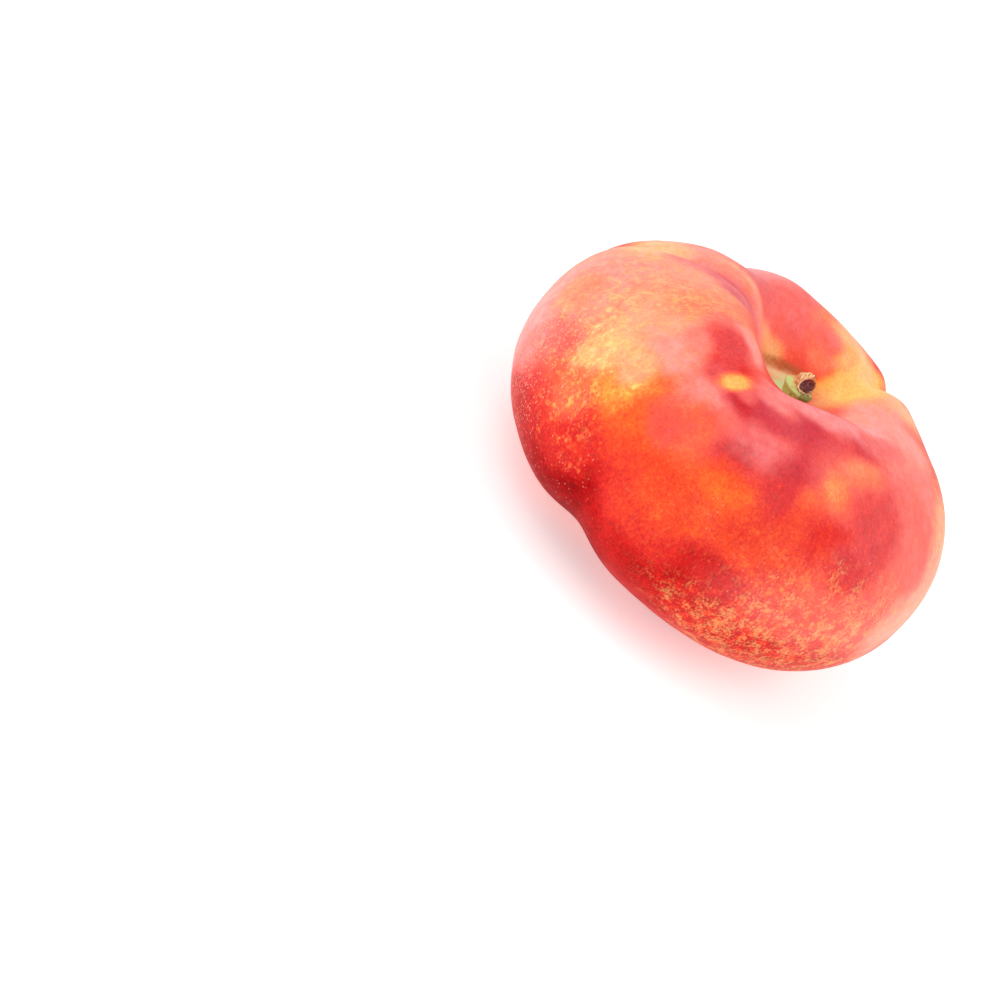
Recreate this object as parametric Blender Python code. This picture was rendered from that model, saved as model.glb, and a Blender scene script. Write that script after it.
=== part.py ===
"""A flat nectarine, picked, with the stub of its stem in the hollow of its crown.

Metres, +Z up. The fruit lies on its blossom end, and the origin is on the surface under the stem.
-Y is the front, where the hollow's rim is lowest. The suture runs down the left side, -X.
"""

import math

import bmesh
import bpy
import numpy as np
from mathutils import Vector

# Driving dimensions of the fruit
GIRTH_RADIUS = 0.0340
CROWN_RISE = 0.0219  # from the girth up to the crown, as if it had no hollow
BASE_DROP = 0.0176  # from the girth down to the blossom end, as if it had no hollow
SIDE_POWER = 0.81  # under 1 makes the sides fuller than an ellipse
END_POWER = 0.865  # under 1 makes the shoulders squarer

# The two hollows: (depth, radius, steepness)
STEM_HOLLOW = (0.0095, 0.0096, 2.5)
BLOSSOM_HOLLOW = (0.0042, 0.0090, 2.0)

# The fruit settles on its base ring, which the surface flattens in three places
REST_WAVES = 3
REST_WAVE_RISE = 0.0004
REST_WAVE_AT = math.radians(-30)
REST_FLAT = 0.0005  # how much of the lowest flesh the surface flattens

# Creases run out from the stem:
# (direction at the stem, direction at the girth, depth, half width, start, share left below the girth)
CREASES = (
    (math.radians(183), math.radians(177), 0.0011, 0.0016, 0.0045, 0.25),  # suture, its sharp edge
    (math.radians(158), math.radians(131), 0.0013, 0.0038, 0.0060, 0.20),  # suture, its broad valley
    (math.radians(58), math.radians(66), 0.0018, 0.0022, 0.0035, 0.10),  # behind the stem
    (math.radians(-112), math.radians(-108), 0.0003, 0.0050, 0.0120, 5.00),  # groove under the front
)

# Soft swellings and dents: (direction, latitude, height, half width)
SWELLINGS = (
    (math.radians(-125), math.radians(48), 0.0008, 0.0100),  # front left shoulder
    (math.radians(-50), math.radians(30), 0.0008, 0.0120),  # front right flank
    (math.radians(-50), math.radians(73), 0.0008, 0.0055),  # right side of the front rim
    (math.radians(-98), math.radians(73), -0.0013, 0.0048),  # low place in the front rim
    (math.radians(-105), math.radians(62), -0.0005, 0.0045),  # and where it runs out
    (math.radians(-106), math.radians(54), -0.0005, 0.0030),  # dimple in front of it
    (math.radians(95), math.radians(50), -0.0004, 0.0120),  # back shoulder
    (math.radians(150), math.radians(45), -0.0004, 0.0100),  # back left shoulder
    (math.radians(42), math.radians(42), -0.0008, 0.0085),  # right shoulder
    (math.radians(71), math.radians(62), -0.0013, 0.0045),  # beside the crease behind the stem
    (math.radians(28), math.radians(65), -0.0012, 0.0060),  # right side of the back rim
    (math.radians(132), math.radians(66), 0.0009, 0.0060),  # left side of the back rim
    (math.radians(-168), math.radians(26), 0.0007, 0.0080),  # left side
    (math.radians(-27), math.radians(2), -0.0005, 0.0110),  # right side, low
)

# Mesh of the fruit
MERIDIANS = 88
PARALLELS = 42
POLE_BUNCHING = 0.6  # share of the spacing that bunches the parallels at the two hollows

# Stub of the stem. It stands on the floor of the hollow, a hair above the skin.
STEM_GAP = 0.0003
STEM_PLACE = (0.0004, 0.0)
STEM_SIDES = 28
# Outline from the foot up through the green collar to the neck: (height, radius)
STEM_OUTLINE = (
    (0.0000, 0.0006),
    (0.0004, 0.0012),
    (0.0009, 0.0017),
    (0.0014, 0.0019),
    (0.0018, 0.0020),
    (0.0021, 0.0023),
    (0.0024, 0.0024),
    (0.0028, 0.0023),
    (0.0029, 0.0018),
)
# The dry neck bends to the front right, where it is torn off
NECK_HEIGHT = 0.0030  # where the neck leaves the collar
NECK_BEND = 0.0008  # how far above that it turns
NECK_END = Vector((0.0003, -0.0010, 0.0042))
NECK_END_FACING = Vector((0.40, -0.65, 0.65)).normalized()
NECK_RADIUS = 0.00150
NECK_STEPS = 5
NECK_UNEVEN = 0.05  # share of its radius by which the dry bark is out of round
TORN_LIP = 0.0003  # how far the bark stands out on the upper left of the torn end
# The torn end is a shallow oval cup in the bark, off its middle, towards the lower right
CUP_TURN = math.radians(45)  # from the oval's long way to the right of the torn end
CUP_SHIFT = 0.00045
CUP_LENGTH = 0.0014  # half of it
CUP_WIDTH = 0.0010  # half of it
CUP_OUTLINE = (  # (share of the oval, depth)
    (1.00, 0.00000),
    (0.88, 0.00035),
    (0.55, 0.00055),
    (0.00, 0.00045),
)


def smooth_step(x):
    """0 below 0, 1 above 1, and a smooth ramp between."""
    x = np.clip(x, 0.0, 1.0)
    return x * x * (3.0 - 2.0 * x)


def plain_body(latitude, azimuth):
    """Skin of the flattened body with its two hollows, round about +Z, girth at z = 0."""
    cosine, sine = np.abs(np.cos(latitude)), np.sin(latitude)
    radius = GIRTH_RADIUS * cosine**SIDE_POWER
    reach = np.where(sine > 0, CROWN_RISE, BASE_DROP)
    height = reach * np.sign(sine) * np.abs(sine) ** END_POWER
    for side, (depth, width, power) in ((1, STEM_HOLLOW), (-1, BLOSSOM_HOLLOW)):
        hollow = depth * np.exp(-((radius / width) ** power))
        height = height - side * hollow * smooth_step(4.0 * side * sine)
    lobes = REST_WAVE_RISE * np.cos(REST_WAVES * (azimuth - REST_WAVE_AT))
    height = height - lobes * smooth_step(-sine * 1.5) * smooth_step(radius / 0.008)
    return np.stack([radius * np.cos(azimuth), radius * np.sin(azimuth), height], axis=-1)


def outward(latitude, azimuth):
    """Unit normals of the plain body, from small steps along it."""
    step = 1e-3
    inside = math.pi / 2 - 2 * step
    latitude = np.clip(latitude, -inside, inside)
    up = plain_body(latitude + step, azimuth) - plain_body(latitude - step, azimuth)
    round_axis = plain_body(latitude, azimuth + step) - plain_body(latitude, azimuth - step)
    normal = np.cross(round_axis, up)
    return normal / np.linalg.norm(normal, axis=-1, keepdims=True)


def fruit_skin(latitude, azimuth):
    """Points of the finished skin: the plain body, creased and swollen along its normals."""
    body = plain_body(latitude, azimuth)
    move = np.zeros(body.shape[:-1])
    radius = np.hypot(body[..., 0], body[..., 1])
    for at_stem, at_girth, depth, width, start, share_below in CREASES:
        turned = azimuth - at_stem - (at_girth - at_stem) * radius / GIRTH_RADIUS
        along, across = radius * np.cos(turned), radius * np.sin(turned)
        crown = smooth_step((np.sin(latitude) + 0.25) / 0.7)
        share = share_below + (1.0 - share_below) * crown
        move -= depth * share * np.exp(-((across / width) ** 2)) * smooth_step(along / start)
    for direction, rise, height, width in SWELLINGS:
        centre = plain_body(np.array(rise), np.array(direction))
        distance = np.linalg.norm(body - centre, axis=-1)
        move += height * np.exp(-((distance / width) ** 2))
    return body + outward(latitude, azimuth) * move[..., None]


def settled(points):
    """The points moved up to stand on z = 0, with the lowest flesh pressed flat."""
    height = points[:, 2] - points[:, 2].min() - REST_FLAT
    return np.column_stack([points[:, 0], points[:, 1], np.maximum(height, 0.0)])


def add_fruit():
    """The whole fruit: a sphere's mesh, laid on the skin."""
    mesh = bpy.data.meshes.new("fruit")
    bm = bmesh.new()
    bmesh.ops.create_uvsphere(bm, u_segments=MERIDIANS, v_segments=PARALLELS, radius=1.0)
    bm.to_mesh(mesh)
    bm.free()
    unit = np.empty(len(mesh.vertices) * 3)
    mesh.vertices.foreach_get("co", unit)
    unit = unit.reshape(-1, 3)
    even = np.arcsin(np.clip(unit[:, 2], -1.0, 1.0))
    latitude = (1 - POLE_BUNCHING) * even + POLE_BUNCHING * math.pi / 2 * np.sin(even)
    azimuth = np.arctan2(unit[:, 1], unit[:, 0])
    points = settled(fruit_skin(latitude, azimuth))
    mesh.vertices.foreach_set("co", points.ravel())
    mesh.update()
    mesh.shade_smooth()
    mesh.materials.append(material("nectarine skin", (0.62, 0.10, 0.045), 0.42))
    fruit = bpy.data.objects.new("fruit", mesh)
    bpy.context.scene.collection.objects.link(fruit)
    return fruit


def hollow_floor(fruit):
    """Height of the skin in the middle of the stem hollow."""
    return min((v.co for v in fruit.data.vertices if v.co.z > CROWN_RISE), key=lambda co: co.xy.length).z


def add_ring(bm, points):
    """A ring of vertices of the stem."""
    return [bm.verts.new(point) for point in points]


def bridge(bm, lower, upper):
    """Faces between two rings of the stem."""
    for i in range(STEM_SIDES):
        j = (i + 1) % STEM_SIDES
        bm.faces.new((lower[i], lower[j], upper[j], upper[i]))


def close(bm, ring, centre, facing_up):
    """A fan of triangles from a ring to its centre."""
    middle = bm.verts.new(centre)
    for i in range(STEM_SIDES):
        j = (i + 1) % STEM_SIDES
        bm.faces.new((ring[i], ring[j], middle) if facing_up else (ring[j], ring[i], middle))


def across(facing):
    """Right and up in the plane that faces a direction leaning to the front."""
    up = (Vector((0, 0, 1)) - facing * facing.z).normalized() if facing.z < 0.999 else Vector((0, 1, 0))
    return up.cross(facing).normalized(), up


def neck_ring(share, angles):
    """Points round the neck at a share of its way from the collar to the torn end."""
    start, turn = Vector((0, 0, NECK_HEIGHT)), Vector((0, 0, NECK_HEIGHT + NECK_BEND))
    centre = start.lerp(turn, share).lerp(turn.lerp(NECK_END, share), share)
    facing = Vector((0, 0, 1)).lerp(NECK_END_FACING, share).normalized()
    right, up = across(facing)
    points = []
    for angle in angles:
        radius = NECK_RADIUS * (1 + NECK_UNEVEN * share * math.sin(5 * angle + 1))
        lip = TORN_LIP * share**4 * math.sin(angle - CUP_TURN)
        points.append(centre + radius * (math.cos(angle) * right + math.sin(angle) * up) + lip * facing)
    return points


def cup_ring(share, depth, angles):
    """Points round the cup in the torn end."""
    right, up = across(NECK_END_FACING)
    long_way = math.cos(CUP_TURN) * right + math.sin(CUP_TURN) * up
    short_way = math.cos(CUP_TURN) * up - math.sin(CUP_TURN) * right
    centre = NECK_END - CUP_SHIFT * short_way - depth * NECK_END_FACING
    points = []
    for angle in angles:
        along = CUP_LENGTH * share * math.cos(angle - CUP_TURN)
        aside = CUP_WIDTH * share * math.sin(angle - CUP_TURN)
        points.append(centre + along * long_way + aside * short_way)
    return points


def add_stem(floor):
    """The stub of the stem: foot, green collar and the dry neck with its torn end."""
    angles = [2 * math.pi * i / STEM_SIDES for i in range(STEM_SIDES)]
    bm = bmesh.new()
    rings = []
    for height, radius in STEM_OUTLINE:
        rings.append(add_ring(bm, [(radius * math.cos(a), radius * math.sin(a), height) for a in angles]))
    for step in range(NECK_STEPS + 1):
        rings.append(add_ring(bm, neck_ring(step / NECK_STEPS, angles)))
    for share, depth in CUP_OUTLINE[:-1]:
        rings.append(add_ring(bm, cup_ring(share, depth, angles)))
    for lower, upper in zip(rings, rings[1:]):
        bridge(bm, lower, upper)
    close(bm, rings[0], (0.0, 0.0, 0.0), facing_up=False)
    close(bm, rings[-1], cup_ring(*CUP_OUTLINE[-1], [0.0])[0], facing_up=True)
    mesh = bpy.data.meshes.new("stem")
    bm.to_mesh(mesh)
    bm.free()
    mesh.shade_smooth()
    mesh.set_sharp_from_angle(angle=math.radians(50))
    mesh.materials.append(material("nectarine stem", (0.36, 0.40, 0.12), 0.65))
    stem = bpy.data.objects.new("stem", mesh)
    stem.location = (STEM_PLACE[0], STEM_PLACE[1], floor + STEM_GAP)
    bpy.context.scene.collection.objects.link(stem)
    return stem


def material(name, colour, roughness):
    """A plain material of one colour."""
    made = bpy.data.materials.new(name)
    made.use_nodes = True
    shader = made.node_tree.nodes["Principled BSDF"]
    shader.inputs["Base Color"].default_value = (*colour, 1.0)
    shader.inputs["Roughness"].default_value = roughness
    shader.inputs["Metallic"].default_value = 0.0
    return made


def clear_scene():
    for obj in list(bpy.data.objects):
        bpy.data.objects.remove(obj)


def main():
    clear_scene()
    fruit = add_fruit()
    add_stem(hollow_floor(fruit))


main()
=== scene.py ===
"""The look of the flat nectarine: its skin, the stub of its stem, the camera and the studio.

Metres, +Z up, in the frame of the solids. The fruit lies on its blossom end, -Y is the front, and
+X is to the right of it. Directions turn from +X towards +Y. Latitude is the angle that draws the
fruit's outline: -90 degrees at the blossom end, 0 at the girth and 90 at the stem.
"""

import math

import bpy
import numpy as np
from mathutils import Matrix, Vector, noise


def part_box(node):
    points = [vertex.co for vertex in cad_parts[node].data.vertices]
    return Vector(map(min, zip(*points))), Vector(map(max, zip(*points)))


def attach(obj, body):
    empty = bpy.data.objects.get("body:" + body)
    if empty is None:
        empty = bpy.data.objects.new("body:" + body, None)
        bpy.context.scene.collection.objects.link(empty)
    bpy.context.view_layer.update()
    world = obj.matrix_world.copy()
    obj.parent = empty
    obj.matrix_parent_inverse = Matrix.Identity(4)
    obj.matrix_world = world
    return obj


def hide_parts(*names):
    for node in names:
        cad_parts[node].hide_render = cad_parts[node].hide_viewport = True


MM = 0.001

# The body of the fruit, as its solid has it
GIRTH_RADIUS = 0.0340
CROWN_RISE = 0.0219
BASE_DROP = 0.0176
SIDE_POWER = 0.81
END_POWER = 0.865
STEM_HOLLOW = (0.0095, 0.0096, 2.5)  # depth, radius, steepness
BLOSSOM_HOLLOW = (0.0042, 0.0090, 2.0)
REST_WAVES = 3  # low points round the blossom end, on which the fruit rests
REST_WAVE_RISE = 0.0004
REST_WAVE_AT = math.radians(-30)
REST_FLAT = 0.0005  # height below which they are flat
# Creases: direction at the stem and at the girth, depth, half width, start, share below the girth
CREASES = (
    (math.radians(183), math.radians(177), 0.0011, 0.0016, 0.0045, 0.25),  # suture, its sharp edge
    (math.radians(158), math.radians(131), 0.0013, 0.0038, 0.0060, 0.20),  # suture, its broad valley
    (math.radians(58), math.radians(66), 0.0018, 0.0022, 0.0035, 0.10),  # behind the stem
    (math.radians(-112), math.radians(-108), 0.0003, 0.0050, 0.0120, 5.00),  # under the front
)
# Swellings and dents: direction, latitude, height, half width
SWELLINGS = (
    (math.radians(-125), math.radians(48), 0.0008, 0.0100),  # front left shoulder
    (math.radians(-50), math.radians(30), 0.0008, 0.0120),  # front right flank
    (math.radians(-50), math.radians(73), 0.0008, 0.0055),  # right side of the front rim
    (math.radians(-98), math.radians(73), -0.0013, 0.0048),  # low place in the front rim
    (math.radians(-105), math.radians(62), -0.0005, 0.0045),  # and where it runs out
    (math.radians(-106), math.radians(54), -0.0005, 0.0030),  # dimple in front of it
    (math.radians(95), math.radians(50), -0.0004, 0.0120),  # back shoulder
    (math.radians(150), math.radians(45), -0.0004, 0.0100),  # back left shoulder
    (math.radians(42), math.radians(42), -0.0008, 0.0085),  # right shoulder
    (math.radians(71), math.radians(62), -0.0013, 0.0045),  # beside the crease behind the stem
    (math.radians(28), math.radians(65), -0.0012, 0.0060),  # right side of the back rim
    (math.radians(132), math.radians(66), 0.0009, 0.0060),  # left side of the back rim
    (math.radians(-168), math.radians(26), 0.0007, 0.0080),  # left side
    (math.radians(-27), math.radians(2), -0.0005, 0.0110),  # right side, low
)
MERIDIAN_RADIUS = 0.030  # about a meridian's length for each radian of latitude
MERIDIANS = 320
PARALLELS = 176
POLE_BUNCHING = 0.6  # share by which the parallels crowd towards both ends
# Faint lumps of the skin: (size, height)
LUMPS = ((0.0060, 0.00007), (0.0022, 0.00002))
SEED_SHIFT = (7.3, 3.1, 5.7)  # how far noise of one seed is from noise of the next

# The stub of the stem, as its solid has it
STEM_OUTLINE = (  # height, radius
    (0.0000, 0.0006),
    (0.0004, 0.0012),
    (0.0009, 0.0017),
    (0.0014, 0.0019),
    (0.0018, 0.0020),
    (0.0021, 0.0023),
    (0.0024, 0.0024),
    (0.0028, 0.0023),
    (0.0029, 0.0018),
)
STEM_PLACE = (0.0004, 0.0)
NECK_HEIGHT = 0.0030
NECK_BEND = 0.0008
NECK_END = Vector((0.0003, -0.0010, 0.0042))
NECK_END_FACING = Vector((0.40, -0.65, 0.65)).normalized()
NECK_RADIUS = 0.00150
NECK_UNEVEN = 0.05
TORN_LIP = 0.0003
CUP_TURN = math.radians(45)
CUP_SHIFT = 0.00045
CUP_LENGTH = 0.0014
CUP_WIDTH = 0.0010
CUP_OUTLINE = ((1.00, 0.00000), (0.88, 0.00035), (0.55, 0.00055), (0.00, 0.00045))  # share, depth
STEM_SIDES = 120
OUTLINE_RINGS = 44
NECK_RINGS = 40
CUP_RINGS = 22
ROUNDING_STEP = 0.00012  # between the heights whose mean radius rounds the outline's corners
BARK_ROUGH = 0.00015  # how far the dry bark's fibres stand up
COLLAR_ROUGH = 0.00004
LIP_ROUGH = 0.00016
CUP_ROUGH = 0.00007
CUP_FRAY = 0.07  # share by which the cup's edge is frayed
COLLAR_DRYNESS = 0.45  # at the collar's top, where the bark begins
# The collar's darker olive green on this side is partly painted shade
OLIVE_SHADE_SIDE = math.radians(-10)  # the side where the collar is darker green

# The camera, rolled so that the fruit lies in the picture as in the photograph
CAMERA_LENS = 107.7
CAMERA_SENSOR = 36.0
CAMERA_DISTANCE = 0.42
CAMERA_ELEVATION = math.radians(24)
CAMERA_ROLL = math.radians(45)
FRUIT_MIDDLE = Vector((0.0, 0.0, 0.0168))
FRUIT_IN_PICTURE = (728, 455)
PICTURE_SIDE = 1000

# Soft lights: name, place, side and power
SOFTBOXES = (
    ("left_softbox", (-0.50, -0.04, 0.48), 0.70, 2.6),
    ("right_softbox", (0.52, 0.12, 0.46), 0.70, 2.4),
    ("front_softbox", (0.00, -0.60, 0.40), 0.80, 1.2),
)
SKY_STRENGTH = 0.58
FLOOR_SIDE = 8.0
FLOOR_WHITE = (0.80, 0.80, 0.80, 1.0)
FLOOR_GLOW = 0.40
WHITE = (1.0, 1.0, 1.0, 1.0)

# Colours of the skin from unblushed ground to the darkest blush: (blush, red, green, blue)
BLUSH_COLOURS = (
    (0.00, 255, 220, 122),
    (0.12, 255, 196, 86),
    (0.25, 255, 158, 54),
    (0.40, 252, 112, 32),
    (0.55, 242, 70, 24),
    (0.70, 224, 32, 24),
    (0.85, 188, 8, 12),
    (1.00, 132, 2, 8),
)
# Pale pink bloom: partly the skin's own haze, partly a painted sheen and highlight on crests, rims and
# edges
BLOOM_AND_SHEEN = (255, 172, 174)
# Mauve: partly the skin's own crimson, partly painted shade in the suture's crease and under the front rim
MAUVE_AND_SHADE = (176, 62, 92)
SPECK = (255, 204, 126)
LENTICEL = (255, 192, 156)
MOSS = (200, 222, 158)
RUSSET = (164, 86, 32)

# Sizes of the skin's marks, in metres
CLOUD_SIZE = 0.0034
GRAIN_SIZE = 0.00036
BRUSHED_SIZE = 0.00055
STREAK_SIZE = 0.0012
FLECK_SIZE = 0.00080
FLECK_CLUSTER_SIZE = 0.0026
SHEEN_SIZE = 0.0014
SPECK_SIZE = 0.00032
SPECK_CLUSTER_SIZE = 0.0017
LENTICEL_SIZE = 0.00040
MARK_STRETCH = (1.0, 1.0, 0.6)  # draws streaks out along the meridians

# How much the marks change the blush
BLUSH_CLOUDS = 0.04
BLUSH_BRUSHED = 0.035
BLUSH_GRAIN = 0.06
STREAK_FADE = 0.42
FRECKLE_FADE = 0.22

# How far the marks cover the skin
SPECK_COVER = 0.48
FRECKLE_COVER = 0.14
LENTICEL_COVER = 0.55

# The stem's colours and the sizes of its marks
COLLAR_PALE = (196, 222, 130)
COLLAR_OLIVE_AND_SHADE = (110, 120, 30)
COLLAR_FIBRE = (226, 228, 176)
BARK_DARK = (206, 140, 78)
BARK_PALE = (255, 226, 170)
BARK_STAIN = (170, 108, 60)
PITH_DARK = (70, 14, 28)
PITH_PALE = (158, 76, 62)
FIBRE_SIZE = 0.00025
FIBRE_STRETCH = (1.0, 1.0, 0.3)
PATCH_SIZE = 0.0009

# What covers the skin where no stroke is laid, before its broad changes
BASE = {
    "blush": 0.68,
    "bloom_and_sheen": 0.05,
    "mauve_and_shade": 0.0,
    "mottle": 0.30,
    "freckles": 0.30,
    "dots": 0.30,
    "moss": 0.0,
    "russet": 0.0,
}
BROAD_BLUSH_SIZE = 0.014
BROAD_BLUSH = 0.16
BROAD_MOTTLE_SIZE = 0.012
BROAD_MOTTLE = 0.7
UNMARKED = {"mottle": 0.0, "dots": 0.0, "freckles": 0.0}

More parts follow.
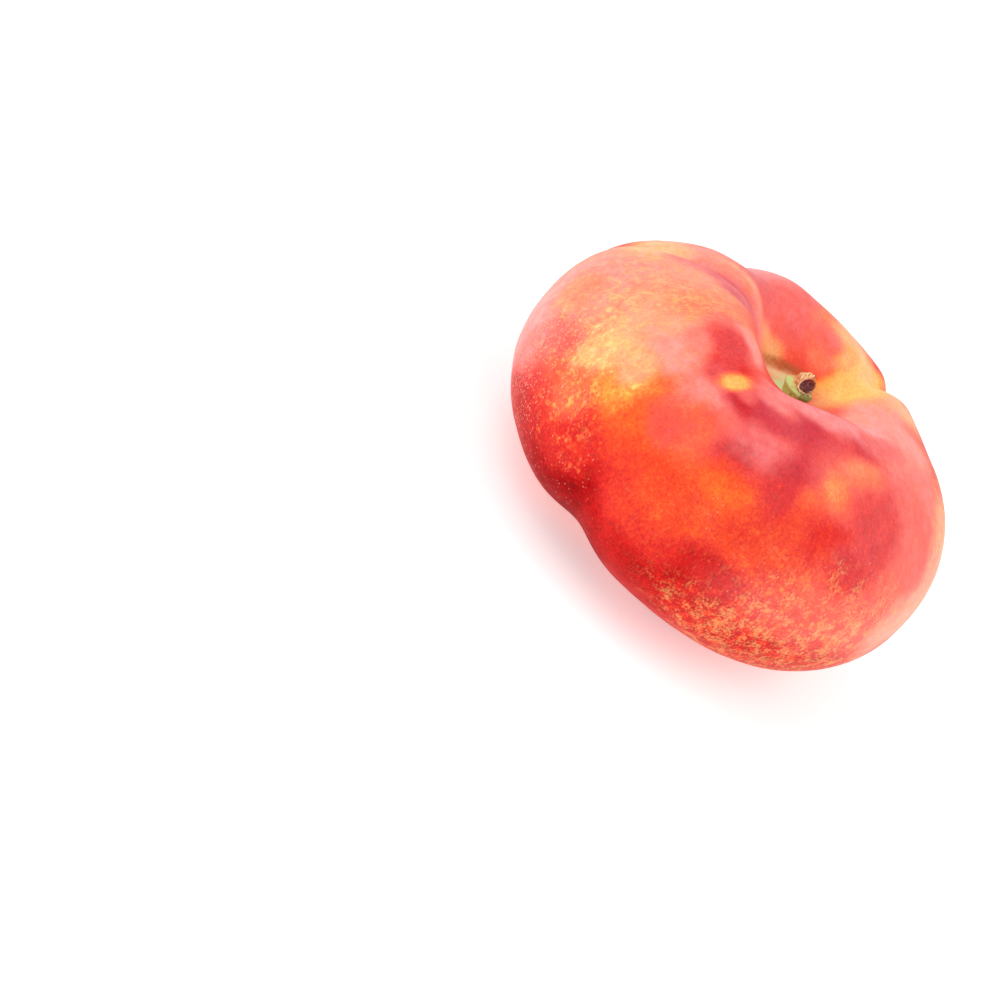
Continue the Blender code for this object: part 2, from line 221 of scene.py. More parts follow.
# Strokes of colour laid over one another in this order. Each has its middle (direction, latitude)
# in degrees, its half size along the meridian and round the fruit in mm, its turn in degrees from
# the meridian towards +direction, and what it paints.
STROKES = (
    # Left shoulder
    (-150, 34, 18, 17, 0, {"blush": 0.39, "bloom_and_sheen": 0.34, "mottle": 0.50, "dots": 0.05, "freckles": 0.25}),
    (-168, 46, 9, 6, 0, {"blush": 0.42, "bloom_and_sheen": 0.44}),
    (-178, 46, 4, 5, 0, {"blush": 0.24, "bloom_and_sheen": 0.38}),
    (-129, 24, 7, 5, 0, {"blush": 0.13, "bloom_and_sheen": 0.26, "mottle": 0.55, "freckles": 0.45}),
    (-130, 44, 6, 5, 0, {"blush": 0.31, "bloom_and_sheen": 0.40, "mottle": 0.2, "freckles": 0.1}),
    (-146, 19, 6, 6, 0, {"blush": 0.38, "bloom_and_sheen": 0.32, "mottle": 0.75, "freckles": 0.6}),
    (-176, 53, 3, 2.5, 0, {"blush": 0.24, "bloom_and_sheen": 0.30}),
    (-141, 54, 4, 3, 0, {"blush": 0.46, "bloom_and_sheen": 0.22, "mottle": 0.7}),
    # Left side, with a pale painted sheen along its edge
    (-158, 4, 12, 7, 0, {"blush": 0.54, "bloom_and_sheen": 0.66, "mottle": 0.4, "freckles": 0.2}),
    (-138, -12, 10, 9, 0, {"blush": 0.82, "bloom_and_sheen": 0.04, "mottle": 0.1, "dots": 1.3, "freckles": 0.3}),
    (-145, 4, 6, 5, 0, {"blush": 0.66, "bloom_and_sheen": 0.22, "mottle": 0.3, "dots": 1.0, "freckles": 0.8}),
    (-129, 5, 5, 5, 0, {"blush": 0.46, "bloom_and_sheen": 0.14, "mottle": 0.45, "dots": 0.5, "freckles": 1.2}),
    (-157, -6, 7, 2.4, 0, {"blush": 0.62, "bloom_and_sheen": 0.62, "dots": 0.5}),
    # Front
    (-114, -2, 10, 13, 0, {"blush": 0.64, "bloom_and_sheen": 0.0, "mottle": 0.12, "dots": 0.35, "freckles": 0.35}),
    (-103, 18, 15, 9, 0, {"blush": 0.50, "bloom_and_sheen": 0.0, "mottle": 0.08, "dots": 0.06, "freckles": 0.15}),
    (-121, 24, 5.5, 3.2, 8, {"blush": 0.34, "bloom_and_sheen": 0.02, "mottle": 0.3, "freckles": 0.4}),
    # Deeper blush towards the underside and the lower left: partly the skin's own red, partly painted
    # shade
    (-106, -31, 10, 15, 0, {"blush": 0.93, "bloom_and_sheen": 0.0, "mottle": 0.05, "dots": 0.25, "freckles": 0.1}),
    (-84, -14, 10, 12, 0, {"blush": 0.84, "bloom_and_sheen": 0.0, "mottle": 0.1, "dots": 0.1, "freckles": 0.1}),
    (-94, 2, 5, 7, 0, {"blush": 0.66, "bloom_and_sheen": 0.0, "mottle": 0.15, "dots": 0.06, "freckles": 0.25}),
    (-121, -1, 5, 6, 0, {"blush": 0.71, "bloom_and_sheen": 0.0, "mottle": 0.2, "freckles": 0.9}),
    (-90, 52, 9, 14, 0, UNMARKED),
    (-118, 58.5, 4.2, 4.4, 0, {"blush": 0.75, "bloom_and_sheen": 0.0, "mauve_and_shade": 0.06}),
    (-131, 61, 3.5, 3, 0, {"blush": 0.54, "bloom_and_sheen": 0.28, "mottle": 0.1}),
    (-105, 42, 6, 3.5, 0, {"blush": 0.47, "bloom_and_sheen": 0.52}),
    (-99, 33, 4, 6, 0, {"blush": 0.52, "bloom_and_sheen": 0.10}),
    (-84, 46, 4, 6, 0, {"blush": 0.68, "bloom_and_sheen": 0.32}),
    # A mauve band below the front rim: partly the skin's own crimson, partly painted shade under the rim
    (-99, 51, 2.2, 3.0, 0, {"blush": 0.79, "bloom_and_sheen": 0.02, "mauve_and_shade": 0.16}),
    (-90, 55.5, 2.4, 3.6, 0, {"blush": 0.79, "bloom_and_sheen": 0.06, "mauve_and_shade": 0.26}),
    (-83, 59, 2.6, 4.2, 0, {"blush": 0.75, "bloom_and_sheen": 0.12, "mauve_and_shade": 0.32}),
    (-70, 62, 3.0, 4.5, 0, {"blush": 0.78, "bloom_and_sheen": 0.08, "mauve_and_shade": 0.28}),
    (-50, 64, 3.0, 4.5, 0, {"blush": 0.76, "bloom_and_sheen": 0.06, "mauve_and_shade": 0.15, **UNMARKED}),
    (-69, 43, 7, 3.5, 0, {"blush": 0.77, "bloom_and_sheen": 0.08, "mauve_and_shade": 0.22}),
    (-71, 31, 5.5, 5, 0, {"blush": 0.76, "bloom_and_sheen": 0.06, "mauve_and_shade": 0.05, "dots": 0.1}),
    (-89, 36, 3.4, 2.6, 0, {"blush": 0.78}),
    (-84, 25, 3, 5, 0, {"blush": 0.49, "bloom_and_sheen": 0.0, "mottle": 0.1}),
    (-72, 15, 5, 5, 0, {"blush": 0.60, "bloom_and_sheen": 0.0, "mottle": 0.15, "dots": 0.1, "freckles": 0.25}),
    (-87, 10, 3.5, 4.5, 0, {"blush": 0.56, "mottle": 0.15}),
    # Right flank
    (-52, 49, 6, 6, 0, {"blush": 0.52, "bloom_and_sheen": 0.20, "mottle": 0.0, "dots": 0.0, "freckles": 0.1}),
    (-56, 46, 3.2, 3.0, 0, {"blush": 0.24, "bloom_and_sheen": 0.14}),
    (-42, 56, 2.8, 5, 0, {"blush": 0.33, "bloom_and_sheen": 0.22, **UNMARKED}),
    (-64, 37, 4.0, 2.2, 0, {"blush": 0.50, "bloom_and_sheen": 0.05}),
    (-62, 27, 4.5, 4, 0, {"blush": 0.58, "bloom_and_sheen": 0.0, "mottle": 0.1, "freckles": 0.1}),
    (-15, 38, 12, 8, 0, {"blush": 0.62, "bloom_and_sheen": 0.22, "mottle": 0.05, "dots": 0.1, "freckles": 0.0}),
    (-40, 34, 9, 9, 0, {"blush": 0.71, "bloom_and_sheen": 0.08, "mottle": 0.05, "dots": 0.1, "freckles": 0.0}),
    (-54, 31, 3, 4, 0, {"blush": 0.72, "bloom_and_sheen": 0.0, "mottle": 0.05, "dots": 0.1}),
    (-44, 28, 3, 4, 0, {"blush": 0.74, "bloom_and_sheen": 0.08, "mauve_and_shade": 0.10, "mottle": 0.05, "dots": 0.2}),
    (4, 30, 9, 6, 0, {"blush": 0.32, "bloom_and_sheen": 0.38, "mottle": 0.5}),
    (-12, 58, 7, 7, 0, {"blush": 0.54, "bloom_and_sheen": 0.37, **UNMARKED}),
    (-28, 12, 7, 6, 0, {"blush": 0.58, "bloom_and_sheen": 0.18, "mottle": 0.3, "dots": 0.1}),
    (-46, -2, 11, 14, 0, {"blush": 0.64, "bloom_and_sheen": 0.16, "mottle": 0.62, "dots": 0.2, "freckles": 0.4}),
    (-45, 16, 4, 6, 0, {"blush": 0.60, "bloom_and_sheen": 0.15, "mottle": 0.4, "freckles": 0.3}),
    # Pale painted highlight along the right edge, where light grazes it
    (-6, 16, 7, 5, 0, {"blush": 0.38, "bloom_and_sheen": 0.44, "mottle": 0.4}),
    (-16, 5, 6, 4, 0, {"blush": 0.36, "bloom_and_sheen": 0.48, "mottle": 0.3}),
    (-38, 0, 4, 7, 0, {"blush": 0.62, "mottle": 0.80}),
    # Deeper blush on the low right edge, partly painted shade
    (-45, -24, 7, 18, 0, {"blush": 0.82, "bloom_and_sheen": 0.0, "mottle": 0.78}),
    (-74, 3, 2.5, 5, 0, {"blush": 0.80, "mottle": 0.2}),
    # Rim of the hollow, with a pale pink painted highlight along its edge
    (-72, 71, 1.3, 8, 0, {"blush": 0.66, "bloom_and_sheen": 0.36, "mottle": 0.0, "dots": 0.0}),
    (-12, 75.0, 3.0, 6, 0, {"blush": 0.46, "bloom_and_sheen": 0.76, "mottle": 0.0, "dots": 0.0}),
    # Suture and the ridges beside it: pale painted highlight on the ridges, mauve painted shade in its
    # valley
    (-172, 60, 7, 5, 0, {"blush": 0.28, "bloom_and_sheen": 0.46, "mottle": 0.0, "dots": 0.0}),
    (172, 50, 5, 7, 0, {"blush": 0.46, "bloom_and_sheen": 0.46, "mottle": 0.2, "dots": 0.0}),
    (178, 41, 5, 6, 0, {"blush": 0.16, "bloom_and_sheen": 0.44, "mottle": 0.2}),
    (150, 63, 6, 2.4, 0, {"blush": 0.66, "bloom_and_sheen": 0.28, "mauve_and_shade": 0.22, "mottle": 0.0, "dots": 0.0}),
    # Back lobe, with a pale painted highlight on its upper edges
    (125, 70, 7, 8, 0, {"blush": 0.62, "bloom_and_sheen": 0.28, "mottle": 0.0, "dots": 0.0}),
    (132, 57, 4, 10, 0, {"blush": 0.58, "bloom_and_sheen": 0.54, "mottle": 0.1, "dots": 0.0}),
    (98, 68, 6, 4, 0, {"blush": 0.42, "bloom_and_sheen": 0.20, "mottle": 0.0, "dots": 0.0}),
    (84, 66, 6, 3.5, 0, {"blush": 0.20, "bloom_and_sheen": 0.36, "mottle": 0.1, "dots": 0.0}),
    (43, 71, 9, 4, 0, {"blush": 0.15, "bloom_and_sheen": 0.48, "mottle": 0.0, "dots": 0.0}),
    (42, 76, 4, 3, 0, {"blush": 0.20, "bloom_and_sheen": 0.36, "mottle": 0.0, "dots": 0.0}),
    (16, 68, 6, 6, 0, {"blush": 0.42, "bloom_and_sheen": 0.54, "mottle": 0.0, "dots": 0.0}),
    (64, 71, 9, 2.3, 0, {"blush": 0.06, "bloom_and_sheen": 0.06, "mottle": 0.0, "dots": 0.0}),
    (56, 78, 5, 2.6, 0, {"blush": 0.10, "bloom_and_sheen": 0.14, "mottle": 0.0, "dots": 0.0}),
    # Smaller patches
    (-131, 19, 3.4, 3.0, 0, {"blush": 0.22, "bloom_and_sheen": 0.28, "mottle": 0.6, "freckles": 0.7}),
    (-121, 41, 3.2, 3.2, 0, {"blush": 0.42, "bloom_and_sheen": 0.50}),
    (-101, 54.5, 1.5, 2.0, 0, {"blush": 0.60, "bloom_and_sheen": 0.20}),
    (-92, 61.5, 1.8, 3.5, 0, {"blush": 0.58, "bloom_and_sheen": 0.42, "mauve_and_shade": 0.08}),
    (-78, 68, 2.0, 6.0, 0, {"blush": 0.60, "bloom_and_sheen": 0.50, "mauve_and_shade": 0.05}),
    (-62, 70.5, 2.0, 6.0, 0, {"blush": 0.62, "bloom_and_sheen": 0.56, "mauve_and_shade": 0.05}),
    (-26, 67.5, 2.0, 5.0, 0, {"blush": 0.66, "bloom_and_sheen": 0.30}),
    (-31, 47, 4.5, 4.0, 0, {"blush": 0.72, "bloom_and_sheen": 0.12}),
    (-20, 42, 7.0, 5.0, 0, {"blush": 0.58, "bloom_and_sheen": 0.24}),
    (-122, 68.0, 3.2, 3.0, 0, {"blush": 0.44, "bloom_and_sheen": 0.56}),
    (158, 80.8, 2.2, 1.6, 0, {"blush": 0.22, "bloom_and_sheen": 0.32, "mauve_and_shade": 0.0}),
    (70, 66, 4.0, 3.0, 0, {"blush": 0.10, "bloom_and_sheen": 0.28}),
    (92, 79, 2.5, 2.0, 0, {"blush": 0.45, "bloom_and_sheen": 0.18}),
    (5, 78, 3.0, 4.5, 0, {"blush": 0.36, "bloom_and_sheen": 0.66}),
    (80, 75, 2.5, 1.6, 0, {"blush": 0.22, "bloom_and_sheen": 0.25}),
    (99, 75.5, 2.5, 2.5, 0, {"blush": 0.56}),
    (-156, 18, 5.0, 4.0, 0, {"blush": 0.42, "bloom_and_sheen": 0.28}),
    (-127, 6, 3.4, 3.4, 0, {"blush": 0.50, "bloom_and_sheen": 0.08, "mottle": 0.4, "freckles": 1.3}),
    (-115, 55.5, 2.0, 2.2, 0, {"blush": 0.72, "bloom_and_sheen": 0.08}),
    (-105, 27, 3.0, 3.2, 0, {"blush": 0.59, "bloom_and_sheen": 0.10}),
    (-123, 28, 2.8, 2.6, 0, {"blush": 0.27, "bloom_and_sheen": 0.34}),
    (-150, -2, 4.0, 3.0, 0, {"blush": 0.62, "bloom_and_sheen": 0.40}),
    (-122, 61, 3.0, 3.2, 0, {"blush": 0.71, "bloom_and_sheen": 0.10, "mottle": 0.0, "freckles": 0.0}),
    (-111, 50.5, 1.8, 2.0, 0, {"blush": 0.70, "bloom_and_sheen": 0.16}),
    (-124, 50, 2.2, 2.2, 0, {"blush": 0.50, "bloom_and_sheen": 0.36}),
    (-97, 13, 3.5, 4.5, 0, {"blush": 0.58}),
    (-106.5, 54.6, 2.8, 1.4, 15, {"blush": 0.18, "bloom_and_sheen": 0.10, "mauve_and_shade": 0.0}),
    (-46, 25, 3.0, 4.0, 0, {"blush": 0.76, "bloom_and_sheen": 0.06}),
    (-38, 43, 4.0, 4.5, 0, {"blush": 0.74, "bloom_and_sheen": 0.10}),
    # Mauve painted shade in the suture's crease
    (-164, 69.5, 3.5, 1.2, 0, {"blush": 0.60, "bloom_and_sheen": 0.34, "mauve_and_shade": 0.45}),
    (-171, 64.5, 3.0, 1.2, 0, {"blush": 0.60, "bloom_and_sheen": 0.34, "mauve_and_shade": 0.40}),
    # Walls of the hollow
    (148, 82.4, 2.0, 2.3, 0, {"blush": 0.22, "bloom_and_sheen": 0.25, "russet": 0.20}),
    (128, 84.1, 1.0, 3.6, 0, {"russet": 0.92, "bloom_and_sheen": 0.1}),
    (128, 85.3, 0.7, 2.8, 0, {"blush": 0.10, "bloom_and_sheen": 0.55, "russet": 0.25, "moss": 0.2}),
    (45, 84, 2.5, 3, 0, {"russet": 0.25, "bloom_and_sheen": 0.3}),
)
# Lines of colour that run out from the stem as the creases do: direction in degrees at the stem and
# at the girth, half width, radius from which and to which they run, and what they paint
LINES = (
    (170, 162, 0.0014, 0.0080, 0.0230, {"blush": 0.38, "bloom_and_sheen": 0.46}),
    (187, 183, 0.0025, 0.0070, 0.0250, {"blush": 0.64, "bloom_and_sheen": 0.48, "mauve_and_shade": 0.16}),
    # The dark mauve line is painted shade in the suture's crease; the pale lines beside it are partly
    # painted highlight on its ridges
    (184, 180, 0.0011, 0.0060, 0.0200, {"blush": 0.70, "bloom_and_sheen": 0.30, "mauve_and_shade": 0.68}),
)
LINE_FADE = 0.0040  # over which a line fades in and out
LINE_WANDER = 0.15  # share of a stroke's straying that a line has
STROKE_WANDER = 0.0013  # how far a stroke's edge strays
STROKE_WANDER_SIZE = 0.0055
FULL_WANDER = 5.0  # half size in mm from which a stroke strays that far
FEATHER = 0.6  # share of that by which its edge is feathered
FEATHER_SIZE = 0.0019
MOSS_RADIUS = (0.0030, 0.0052)  # the green floor of the hollow, from full to none
MOSS_WANDER = 0.0008
SCAR_RADIUS = (0.0006, 0.0016)  # the dry scar at the blossom end
STREAKS_FROM = 0.006  # radius from which the skin is streaked
STREAKS_OVER = 0.014  # and over which the streaks grow full


def smooth_step(x):
    """0 below 0, 1 above 1, and a smooth ramp between."""
    x = np.clip(x, 0.0, 1.0)
    return x * x * (3.0 - 2.0 * x)


def plain_body(latitude, azimuth):
    """Skin of the flattened body with its two hollows, round about +Z, girth at z = 0."""
    cosine, sine = np.abs(np.cos(latitude)), np.sin(latitude)
    radius = GIRTH_RADIUS * cosine**SIDE_POWER
    reach = np.where(sine > 0, CROWN_RISE, BASE_DROP)
    height = reach * np.sign(sine) * np.abs(sine) ** END_POWER
    for side, (depth, width, power) in ((1, STEM_HOLLOW), (-1, BLOSSOM_HOLLOW)):
        hollow = depth * np.exp(-((radius / width) ** power))
        height = height - side * hollow * smooth_step(4.0 * side * sine)
    lobes = REST_WAVE_RISE * np.cos(REST_WAVES * (azimuth - REST_WAVE_AT))
    height = height - lobes * smooth_step(-sine * 1.5) * smooth_step(radius / 0.008)
    return np.stack([radius * np.cos(azimuth), radius * np.sin(azimuth), height], axis=-1)


def tangents(surface, latitude, azimuth):
    """Steps up the meridian and round the fruit, on a surface given by a function."""
    step = 1e-3
    inside = math.pi / 2 - 2 * step
    latitude = np.clip(latitude, -inside, inside)
    up = surface(latitude + step, azimuth) - surface(latitude - step, azimuth)
    around = surface(latitude, azimuth + step) - surface(latitude, azimuth - step)
    return up, around


def unit(vectors):
    return vectors / np.linalg.norm(vectors, axis=-1, keepdims=True)


def fruit_skin(latitude, azimuth):
    """Points of the skin: the plain body, creased and swollen along its normals."""
    body = plain_body(latitude, azimuth)
    move = np.zeros(body.shape[:-1])
    radius = np.hypot(body[..., 0], body[..., 1])
    for at_stem, at_girth, depth, width, start, share_below in CREASES:
        turned = azimuth - at_stem - (at_girth - at_stem) * radius / GIRTH_RADIUS
        along, across = radius * np.cos(turned), radius * np.sin(turned)
        crown = smooth_step((np.sin(latitude) + 0.25) / 0.7)
        share = share_below + (1.0 - share_below) * crown
        move -= depth * share * np.exp(-((across / width) ** 2)) * smooth_step(along / start)
    for direction, rise, height, width in SWELLINGS:
        centre = plain_body(np.array(rise), np.array(direction))
        distance = np.linalg.norm(body - centre, axis=-1)
        move += height * np.exp(-((distance / width) ** 2))
    up, around = tangents(plain_body, latitude, azimuth)
    return body + unit(np.cross(around, up)) * move[..., None]


def noise_at(points, size, seed):
    """Smooth noise between about -1 and 1 at each point."""
    shift = Vector([seed * step for step in SEED_SHIFT])
    return np.array([noise.noise(Vector(p) / size + shift) for p in points])


def stroke_weight(points, direction, latitude, along, around, turn):
    """1 in the middle of a stroke, 0 well outside it."""
    place = np.array(math.radians(latitude)), np.array(math.radians(direction))
    centre = fruit_skin(*place)
    up, side = (unit(step) for step in tangents(fruit_skin, *place))
    out = np.cross(side, up)
    turn = math.radians(turn)
    long_way = math.cos(turn) * up + math.sin(turn) * side
    short_way = math.cos(turn) * side - math.sin(turn) * up
    offset = points - centre
    reach = np.sqrt(
        (offset @ long_way / (along * MM)) ** 2
        + (offset @ short_way / (around * MM)) ** 2
        + (offset @ out / (max(along, around) * MM)) ** 2
    )
    return 1.0 - smooth_step(reach - 0.5)


def paint(points, latitude):
    """The amounts of each colour at each point of the skin."""
    amounts = {name: np.full(len(points), amount) for name, amount in BASE.items()}
    broad = noise_at(points, BROAD_BLUSH_SIZE, 1)
    amounts["blush"] += BROAD_BLUSH * broad
    mottled = noise_at(points, BROAD_MOTTLE_SIZE, 2) - 0.3 * broad
    amounts["mottle"] += BROAD_MOTTLE * np.clip(mottled, -0.3, 1.0)
    wander = np.column_stack([noise_at(points, STROKE_WANDER_SIZE, seed) for seed in (3, 4, 5)])
    wander += FEATHER * np.column_stack([noise_at(points, FEATHER_SIZE, seed) for seed in (8, 9, 10)])
    for direction, at, along, around, turn, colours in STROKES:
        stray = STROKE_WANDER * min(1.0, min(along, around) / FULL_WANDER)
        weight = stroke_weight(points + stray * wander, direction, at, along, around, turn)
        for name, amount in colours.items():
            amounts[name] += weight * (amount - amounts[name])
    radius = np.hypot(points[:, 0], points[:, 1])
    azimuth = np.arctan2(points[:, 1], points[:, 0])
    for at_stem, at_girth, width, start, end, colours in LINES:
        at_stem, at_girth = math.radians(at_stem), math.radians(at_girth)
        turned = azimuth - at_stem - (at_girth - at_stem) * radius / GIRTH_RADIUS
        aside = radius * np.sin(turned) + LINE_WANDER * STROKE_WANDER * wander[:, 1]
        weight = np.exp(-((aside / width) ** 2)) * (np.cos(turned) > 0) * (latitude > 0)
        weight *= smooth_step((radius - start) / LINE_FADE + 0.5)
        weight *= smooth_step((end - radius) / LINE_FADE + 0.5)
        for name, amount in colours.items():
            amounts[name] += weight * (amount - amounts[name])
    full, none = MOSS_RADIUS
    moss = 1.0 - smooth_step((radius + MOSS_WANDER * wander[:, 0] - full) / (none - full))
    amounts["moss"] = np.where(latitude > 0, np.maximum(moss, amounts["moss"]), 0.0)
    amounts["streaks"] = smooth_step((radius - STREAKS_FROM) / STREAKS_OVER)
    for name in ("mottle", "freckles", "dots"):
        amounts[name] *= np.where(latitude > 0, amounts["streaks"], 1.0)
    full, none = SCAR_RADIUS
    scar = 1.0 - smooth_step((radius - full) / (none - full))
    amounts["russet"] = np.maximum(amounts["russet"], np.where(latitude < 0, scar, 0.0))
    return amounts


def add_attribute(mesh, name, values):
    """Values at the mesh's vertices, one number or one vector each."""
    vector = values.ndim == 2
    made = mesh.attributes.new(name, "FLOAT_VECTOR" if vector else "FLOAT", "POINT")
    made.data.foreach_set("vector" if vector else "value", values.astype(np.float32).ravel())


def sphere_grid():
    """Latitudes, directions and faces of a ball of rings with a point at each end."""
    even = np.linspace(-math.pi / 2, math.pi / 2, PARALLELS + 1)[1:-1]
    rings = (1 - POLE_BUNCHING) * even + POLE_BUNCHING * math.pi / 2 * np.sin(even)
    turns = np.arange(MERIDIANS) * 2 * math.pi / MERIDIANS - math.pi
    latitude, azimuth = (grid.ravel() for grid in np.meshgrid(rings, turns, indexing="ij"))
    low, high = len(latitude), len(latitude) + 1
    last = low - MERIDIANS
    faces = []
    for i in range(MERIDIANS):
        j = (i + 1) % MERIDIANS
        faces += [(r + i, r + j, r + MERIDIANS + j, r + MERIDIANS + i) for r in range(0, last, MERIDIANS)]
        faces += [(j, i, low), (last + i, last + j, high)]
    ends = np.array([-math.pi / 2, math.pi / 2])
    return np.append(latitude, ends), np.append(azimuth, np.zeros(2)), faces


def add_piece(name, mesh, material):
    """A smooth piece of the scene, made from a mesh."""
    mesh.shade_smooth()
    mesh.materials.append(material)
    piece = bpy.data.objects.new(name, mesh)
    bpy.context.scene.collection.objects.link(piece)
    return piece


def add_fruit():
    """The skin of the fruit, with the amounts of its colours held at its vertices."""
    latitude, azimuth, faces = sphere_grid()
    points = fruit_skin(latitude, azimuth)
    up, around = tangents(plain_body, latitude, azimuth)
    normals = unit(np.cross(around, up))
    lumps = sum(height * noise_at(points, size, seed) for seed, (size, height) in enumerate(LUMPS, 6))
    shaped = points + normals * lumps[:, None]
    shaped[:, 2] = np.maximum(shaped[:, 2] - shaped[:, 2].min() - REST_FLAT, 0.0)
    mesh = bpy.data.meshes.new("fruit_skin")
    mesh.from_pydata(shaped.tolist(), [], faces)
    for name, values in paint(points, latitude).items():
        add_attribute(mesh, name, values)
    unrolled = [GIRTH_RADIUS * np.cos(azimuth), GIRTH_RADIUS * np.sin(azimuth), MERIDIAN_RADIUS * latitude]
    add_attribute(mesh, "grain", np.column_stack(unrolled))
    fruit = add_piece("fruit_skin", mesh, skin_material())
    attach(fruit, "root")
    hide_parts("fruit")


def across(facing):
    """Right and up in the plane that faces a direction leaning to the front."""
    up = (Vector((0, 0, 1)) - facing * facing.z).normalized() if facing.z < 0.999 else Vector((0, 1, 0))
    return up.cross(facing).normalized(), up


def stem_noise(angle, along, size, seed):
    """Noise at an angle round the stem, in lumps whose size is a share of the stem's radius."""
    return noise.noise(Vector((math.cos(angle) / size, math.sin(angle) / size, along + seed * 9.7)))


def outline_ring(share, angles):
    """Points round the foot and the collar at a share of their height."""
    heights, radii = zip(*STEM_OUTLINE)
    height = share * heights[-1]
    nearby = np.clip([height + i * ROUNDING_STEP for i in (-2, -1, 0, 1, 2)], 0.0, heights[-1])
    radius = float(np.interp(nearby, heights, radii).mean())
    points = []
    for angle in angles:
        rough = stem_noise(angle, height / 0.0012, 0.35, 1)
        rough += 0.5 * stem_noise(angle, height / 0.0004, 0.12, 2)
        reach = radius + COLLAR_ROUGH * rough * min(1.0, height / 0.0006)
        points.append((reach * math.cos(angle), reach * math.sin(angle), height))
    return points


def neck_ring(share, angles):
    """Points round the neck at a share of its way from the collar to the torn end."""
    start, turn = Vector((0, 0, NECK_HEIGHT)), Vector((0, 0, NECK_HEIGHT + NECK_BEND))
    centre = start.lerp(turn, share).lerp(turn.lerp(NECK_END, share), share)
    facing = Vector((0, 0, 1)).lerp(NECK_END_FACING, share).normalized()
    right, up = across(facing)
    points = []
    for angle in angles:
        fibres = stem_noise(angle, share * 1.3, 0.16, 3) + 0.6 * stem_noise(angle, share * 4.0, 0.07, 4)
        radius = NECK_RADIUS * (1 + NECK_UNEVEN * share * math.sin(5 * angle + 1))
        radius += BARK_ROUGH * fibres * (0.35 + 0.65 * share)
        lip = TORN_LIP * share**4 * math.sin(angle - CUP_TURN)
        lip += LIP_ROUGH * share**8 * stem_noise(angle, 0.0, 0.14, 5)
        points.append(centre + radius * (math.cos(angle) * right + math.sin(angle) * up) + lip * facing)
    return points


def cup_ring(share, depth, angles):
    """Points round the cup in the torn end."""
    right, up = across(NECK_END_FACING)
    long_way = math.cos(CUP_TURN) * right + math.sin(CUP_TURN) * up
    short_way = math.cos(CUP_TURN) * up - math.sin(CUP_TURN) * right
    centre = NECK_END - CUP_SHIFT * short_way - depth * NECK_END_FACING
    points = []
    for angle in angles:
        frayed = 1 + CUP_FRAY * stem_noise(angle, share * 3.0, 0.15, 6)
        along = CUP_LENGTH * share * frayed * math.cos(angle - CUP_TURN)
        aside = CUP_WIDTH * share * frayed * math.sin(angle - CUP_TURN)
        rough = CUP_ROUGH * stem_noise(angle, share * 5.0, 0.3, 7) * share
        points.append(centre + along * long_way + aside * short_way + rough * NECK_END_FACING)
    return points


def add_stem(place):
    """The stub of the stem, from the foot to the bottom of the cup in its torn end."""
    angles = [2 * math.pi * i / STEM_SIDES for i in range(STEM_SIDES)]
    rings, dry, pit = [], [], []
    # Darker olive green towards one side of the collar: partly its own colour, partly painted shade
    olive_and_shade = [0.5 + 0.5 * math.cos(angle - OLIVE_SHADE_SIDE) for angle in angles]
    for i in range(OUTLINE_RINGS):
        share = i / (OUTLINE_RINGS - 1)
        rings.append(outline_ring(share, angles))
        dry.append(COLLAR_DRYNESS * share**6)
        pit.append(0.0)
    for i in range(NECK_RINGS):
        share = i / (NECK_RINGS - 1)
        rings.append(neck_ring(share, angles))
        dry.append(COLLAR_DRYNESS + (1 - COLLAR_DRYNESS) * smooth_step(share * 2.5))
        pit.append(0.0)
    shares, depths = zip(*CUP_OUTLINE[::-1])
    for i in range(CUP_RINGS):
        share = 1 - i / CUP_RINGS
        rings.append(cup_ring(share, float(np.interp(share, shares, depths)), angles))
        dry.append(1.0)
        pit.append(float(smooth_step((1.0 - share) / 0.10)))
    points = [tuple(point) for ring in rings for point in ring]
    values = {"dry": np.repeat(dry, STEM_SIDES), "pit": np.repeat(pit, STEM_SIDES)}
    faces = []
    for i in range(STEM_SIDES):
        j = (i + 1) % STEM_SIDES
        for r in range(0, len(points) - STEM_SIDES, STEM_SIDES):
            faces.append((r + i, r + j, r + STEM_SIDES + j, r + STEM_SIDES + i))
        faces.append((j, i, len(points)))
        faces.append((len(points) - STEM_SIDES + i, len(points) - STEM_SIDES + j, len(points) + 1))
    points += [(0.0, 0.0, 0.0), tuple(cup_ring(*CUP_OUTLINE[-1], [0.0])[0])]
    mesh = bpy.data.meshes.new("stem_stub")
    mesh.from_pydata([tuple(Vector(point) + place) for point in points], [], faces)
    values["olive_and_shade"] = np.tile(olive_and_shade, len(rings))
    for name, held in values.items():
        add_attribute(mesh, name, np.append(held, [0.0, held[-1]]))
    stem = add_piece("stem_stub", mesh, stem_material())
    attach(stem, "root")
    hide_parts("stem")


def colour(red, green, blue):
    """A shader's colour, from the numbers that a screen shows."""
    shares = (value / 255 for value in (red, green, blue))
    return (*(s / 12.92 if s <= 0.04045 else ((s + 0.055) / 1.055) ** 2.4 for s in shares), 1.0)


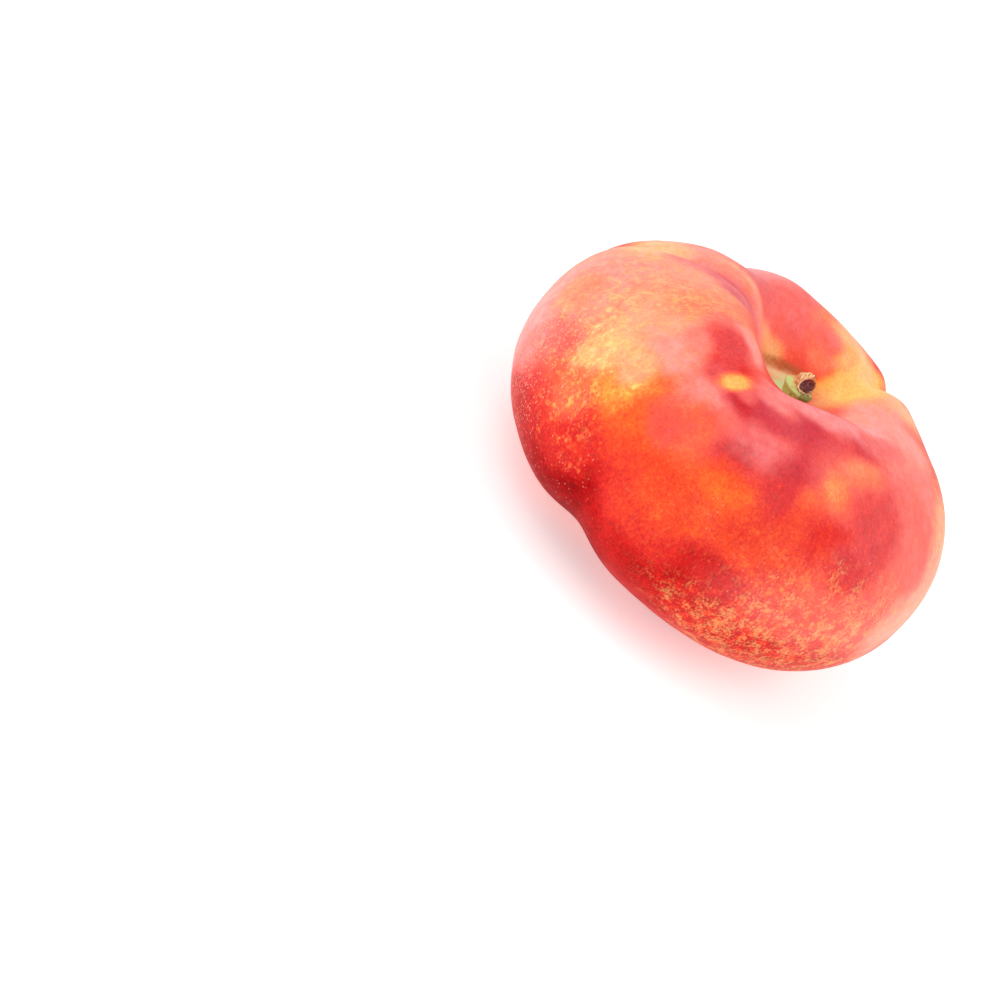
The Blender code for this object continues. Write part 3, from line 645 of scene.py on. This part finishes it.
class Shader:
    """A node material, with short ways to add its nodes."""

    def __init__(self, name):
        self.material = bpy.data.materials.new(name)
        self.material.use_nodes = True
        self.tree = self.material.node_tree
        self.surface = self.tree.nodes["Principled BSDF"]

    def node(self, kind, inputs, output=0, **settings):
        """Adds a node, sets or joins its inputs, and returns one of its outputs."""
        made = self.tree.nodes.new("ShaderNode" + kind)
        for name, value in settings.items():
            setattr(made, name, value)
        for name, value in inputs.items():
            self.join(value, made.inputs[name])
        return made.outputs[output]

    def join(self, value, socket):
        if isinstance(value, bpy.types.NodeSocket):
            self.tree.links.new(value, socket)
        else:
            socket.default_value = value

    def held(self, name, output="Fac"):
        """What the mesh holds at its vertices under a name."""
        return self.node("Attribute", {}, output, attribute_name=name)

    def maths(self, operation, first, second=0.0):
        return self.node("Math", {0: first, 1: second}, operation=operation)

    def plus(self, first, second):
        return self.maths("ADD", first, second)

    def times(self, first, second):
        return self.maths("MULTIPLY", first, second)

    def ramp(self, value, low, high, to_low=0.0, to_high=1.0):
        """A smooth ramp from to_low at low to to_high at high."""
        inputs = {"Value": value, "From Min": low, "From Max": high, "To Min": to_low, "To Max": to_high}
        return self.node("MapRange", inputs, interpolation_type="SMOOTHSTEP")

    def mix(self, factor, first, second):
        """Mixes two colours."""
        return self.node("Mix", {0: factor, 6: first, 7: second}, 2, data_type="RGBA")

    def scaled(self, vector, scale):
        return self.node("VectorMath", {0: vector, 1: scale}, operation="MULTIPLY")

    def noise(self, vector, size, detail, roughness):
        """Noise with lumps of a size in metres."""
        inputs = {"Vector": vector, "Scale": 1.0 / size, "Detail": detail, "Roughness": roughness}
        return self.node("TexNoise", inputs, "Fac")

    def scattered(self, vector, size, amount, edge, middle):
        """Round dots scattered in cells of a size in metres, in as many of them as the amount says."""
        cells = {"Vector": vector, "Scale": 1.0 / size}
        dots = self.ramp(self.node("TexVoronoi", cells, "Distance"), edge, middle)
        rarity = self.node("SeparateColor", {"Color": self.node("TexVoronoi", cells, "Color")})
        return self.times(dots, self.ramp(self.maths("SUBTRACT", amount, rarity), 0.0, 0.3))

    def set(self, **inputs):
        """Sets or joins inputs of the surface, named with _ for a space."""
        for name, value in inputs.items():
            self.join(value, self.surface.inputs[name.replace("_", " ")])


def blush_colour(s, streaky, cloud, fine, freckle):
    """The ground and the blush over it, thinned by streaks and freckles."""
    clouds = s.ramp(cloud, 0.25, 0.75, -BLUSH_CLOUDS, BLUSH_CLOUDS)
    brushed = s.noise(streaky, BRUSHED_SIZE, 2.0, 0.55)
    brushed = s.times(s.held("streaks"), s.ramp(brushed, 0.25, 0.75, -BLUSH_BRUSHED, BLUSH_BRUSHED))
    grain = s.ramp(fine, 0.25, 0.75, -BLUSH_GRAIN, BLUSH_GRAIN)
    blush = s.plus(s.plus(s.plus(s.held("blush"), clouds), brushed), grain)
    streak = s.ramp(s.noise(streaky, STREAK_SIZE, 4.0, 0.62), 0.44, 0.74, 0.0, STREAK_FADE)
    blush = s.maths("SUBTRACT", blush, s.times(s.held("mottle"), streak))
    blush = s.maths("SUBTRACT", blush, s.times(freckle, FRECKLE_FADE))
    ground = s.node("ValToRGB", {"Fac": blush}, "Color")
    steps = ground.node.color_ramp.elements
    for i, (at, *rgb) in enumerate(BLUSH_COLOURS):
        step = steps[i] if i < len(steps) else steps.new(at)
        step.position = at
        step.color = colour(*rgb)
    return ground


def freckles(s, place):
    """Pale flecks in loose clusters, where the skin is freckled."""
    single = s.noise(place, FLECK_SIZE, 1.0, 0.5)
    cluster = s.noise(place, FLECK_CLUSTER_SIZE, 2.0, 0.5)
    fleck = s.plus(s.times(single, 0.6), s.times(cluster, 0.4))
    fleck = s.plus(fleck, s.times(s.held("freckles"), 0.05))
    return s.times(s.ramp(fleck, 0.56, 0.74), s.ramp(s.held("freckles"), 0.05, 0.6))


def specks(s, place, streaky):
    """Small specks, where the blush is mottled."""
    single = s.noise(streaky, SPECK_SIZE, 2.0, 0.5)
    cluster = s.noise(place, SPECK_CLUSTER_SIZE, 3.0, 0.6)
    thin = s.plus(s.times(single, 0.48), s.times(cluster, 0.52))
    thin = s.plus(thin, s.times(s.held("mottle"), 0.07))
    return s.times(s.ramp(thin, 0.50, 0.70), s.ramp(s.held("mottle"), 0.0, 0.6))


def skin_material():
    """Nectarine skin: a blush over a yellow ground, broken by streaks, specks and lenticels, with a bloom
    that is partly painted sheen and mauve that is partly painted shade.
    """
    s = Shader("nectarine_skin")
    place = s.node("TexCoord", {}, "Object")
    streaky = s.scaled(s.held("grain", "Vector"), MARK_STRETCH)
    cloud = s.noise(place, CLOUD_SIZE, 3.0, 0.55)
    fine = s.noise(place, GRAIN_SIZE, 2.0, 0.7)
    freckle = freckles(s, place)
    skin = blush_colour(s, streaky, cloud, fine, freckle)

    # Bloom, partly a painted sheen and highlight on crests, rims and edges, and mauve, partly painted
    # shade in creases and under the front rim, laid over the blush
    sheen = s.ramp(s.noise(place, SHEEN_SIZE, 4.0, 0.7), 0.3, 0.7, 0.75, 1.25)
    skin = s.mix(s.times(s.held("bloom_and_sheen"), sheen), skin, colour(*BLOOM_AND_SHEEN))
    skin = s.mix(s.held("mauve_and_shade"), skin, colour(*MAUVE_AND_SHADE))

    # Specks, freckles and lenticels
    pale = s.plus(s.times(specks(s, place, streaky), SPECK_COVER), s.times(freckle, FRECKLE_COVER))
    skin = s.mix(pale, skin, colour(*SPECK))
    dot = s.scattered(streaky, LENTICEL_SIZE, s.held("dots"), 0.40, 0.16)
    skin = s.mix(s.times(dot, LENTICEL_COVER), skin, colour(*LENTICEL))

    # The floor and the walls of the hollow, and the scar at the blossom end
    skin = s.mix(s.times(s.held("russet"), s.ramp(fine, 0.2, 0.8, 0.7, 1.1)), skin, colour(*RUSSET))
    skin = s.mix(s.held("moss"), skin, colour(*MOSS))

    relief = s.plus(s.times(fine, 0.6), s.times(dot, 0.5))
    bump = s.node("Bump", {"Height": relief, "Strength": 0.12, "Distance": 0.0001}, "Normal")
    s.set(
        Base_Color=skin,
        Roughness=s.ramp(cloud, 0.2, 0.8, 0.40, 0.50),
        Specular_IOR_Level=s.ramp(s.held("blush"), 0.60, 0.92, 0.22, 0.03),
        Subsurface_Weight=0.18,
        Subsurface_Radius=(1.0, 0.35, 0.2),
        Subsurface_Scale=0.0018,
        Normal=bump,
    )
    return s.material


def stem_material():
    """Green collar, dry bark above it, and a dark cup in the torn end."""
    s = Shader("nectarine_stem")
    place = s.node("TexCoord", {}, "Object")
    fibres = s.noise(s.scaled(place, FIBRE_STRETCH), FIBRE_SIZE, 3.0, 0.6)
    patches = s.noise(place, PATCH_SIZE, 3.0, 0.6)

    # Darker olive on one side of the collar: its own patches, plus painted shade on that side
    olive_and_shade = s.ramp(s.plus(patches, s.held("olive_and_shade")), 0.95, 1.40)
    green = s.mix(olive_and_shade, colour(*COLLAR_PALE), colour(*COLLAR_OLIVE_AND_SHADE))
    green = s.mix(s.ramp(fibres, 0.5, 0.75, 0.0, 0.4), green, colour(*COLLAR_FIBRE))

    bark = s.mix(s.ramp(fibres, 0.4, 0.62), colour(*BARK_DARK), colour(*BARK_PALE))
    bark = s.mix(s.ramp(patches, 0.58, 0.75, 0.0, 0.4), bark, colour(*BARK_STAIN))
    dry = s.plus(s.held("dry"), s.ramp(patches, 0.3, 0.7, -0.12, 0.12))
    look = s.mix(s.ramp(dry, 0.42, 0.60), green, bark)

    pith = s.mix(s.ramp(fibres, 0.42, 0.66), colour(*PITH_DARK), colour(*PITH_PALE))
    look = s.mix(s.held("pit"), look, pith)

    bump = s.node("Bump", {"Height": fibres, "Strength": 0.5, "Distance": 0.00008}, "Normal")
    s.set(Base_Color=look, Roughness=s.ramp(fibres, 0.3, 0.7, 0.55, 0.75), Normal=bump)
    return s.material


def stem_foot():
    """Height of the stem's foot, just above the floor of the hollow."""
    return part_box("stem")[0].z


def axes(direction, up):
    """Axes of a view whose z is the direction given."""
    z = direction.normalized()
    x = up.cross(z).normalized()
    return Matrix((x, z.cross(x), z)).transposed()


def add_camera():
    """A camera that keeps the photograph's framing: it looks past the fruit, and is rolled."""
    back = Vector((0.0, -math.cos(CAMERA_ELEVATION), math.sin(CAMERA_ELEVATION)))
    half = PICTURE_SIDE / 2
    per_pixel = CAMERA_SENSOR / CAMERA_LENS / PICTURE_SIDE
    right = (FRUIT_IN_PICTURE[0] - half) * per_pixel
    up = (half - FRUIT_IN_PICTURE[1]) * per_pixel
    to_fruit = Vector((right, up, -1.0))
    rolled_up = Vector((math.sin(CAMERA_ROLL), math.cos(CAMERA_ROLL), 0.0))
    turn = axes(-back, Vector((0, 0, 1))) @ axes(to_fruit, rolled_up).transposed()
    data = bpy.data.cameras.new("camera")
    data.lens = CAMERA_LENS
    data.sensor_width = CAMERA_SENSOR
    camera = bpy.data.objects.new("camera", data)
    camera.matrix_world = Matrix.Translation(FRUIT_MIDDLE + back * CAMERA_DISTANCE) @ turn.to_4x4()
    bpy.context.scene.collection.objects.link(camera)
    bpy.context.scene.camera = camera


def add_light(name, place, size, power):
    """A square soft light that faces the fruit."""
    data = bpy.data.lights.new(name, "AREA")
    data.size = size
    data.energy = power
    light = bpy.data.objects.new(name, data)
    light.location = place
    light.rotation_euler = (FRUIT_MIDDLE - Vector(place)).to_track_quat("-Z", "Y").to_euler()
    bpy.context.scene.collection.objects.link(light)


def add_studio():
    """A white floor and soft light from all sides, strongest from both flanks."""
    world = bpy.data.worlds.new("studio")
    world.use_nodes = True
    sky = world.node_tree.nodes["Background"].inputs
    sky["Color"].default_value = WHITE
    sky["Strength"].default_value = SKY_STRENGTH
    bpy.context.scene.world = world
    for name, place, size, power in SOFTBOXES:
        add_light(name, place, size, power)
    mesh = bpy.data.meshes.new("floor")
    side = FLOOR_SIDE / 2
    edges = ((-side, -side), (side, -side), (side, side), (-side, side))
    mesh.from_pydata([(x, y, 0.0) for x, y in edges], [], [(0, 1, 2, 3)])
    floor = bpy.data.objects.new("floor", mesh)
    bpy.context.scene.collection.objects.link(floor)
    s = Shader("floor_white")
    s.set(Base_Color=FLOOR_WHITE, Roughness=0.9, Specular_IOR_Level=0.1)
    s.set(Emission_Color=WHITE, Emission_Strength=FLOOR_GLOW)
    mesh.materials.append(s.material)
    bpy.context.scene.view_settings.view_transform = "Standard"


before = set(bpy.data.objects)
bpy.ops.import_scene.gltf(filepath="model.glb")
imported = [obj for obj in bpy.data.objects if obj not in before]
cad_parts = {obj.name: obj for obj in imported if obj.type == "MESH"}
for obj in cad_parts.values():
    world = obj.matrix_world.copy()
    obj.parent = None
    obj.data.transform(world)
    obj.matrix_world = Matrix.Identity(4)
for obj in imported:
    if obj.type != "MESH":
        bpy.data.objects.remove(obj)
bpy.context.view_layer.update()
add_camera()
add_studio()
add_fruit()
add_stem(Vector((*STEM_PLACE, stem_foot())))
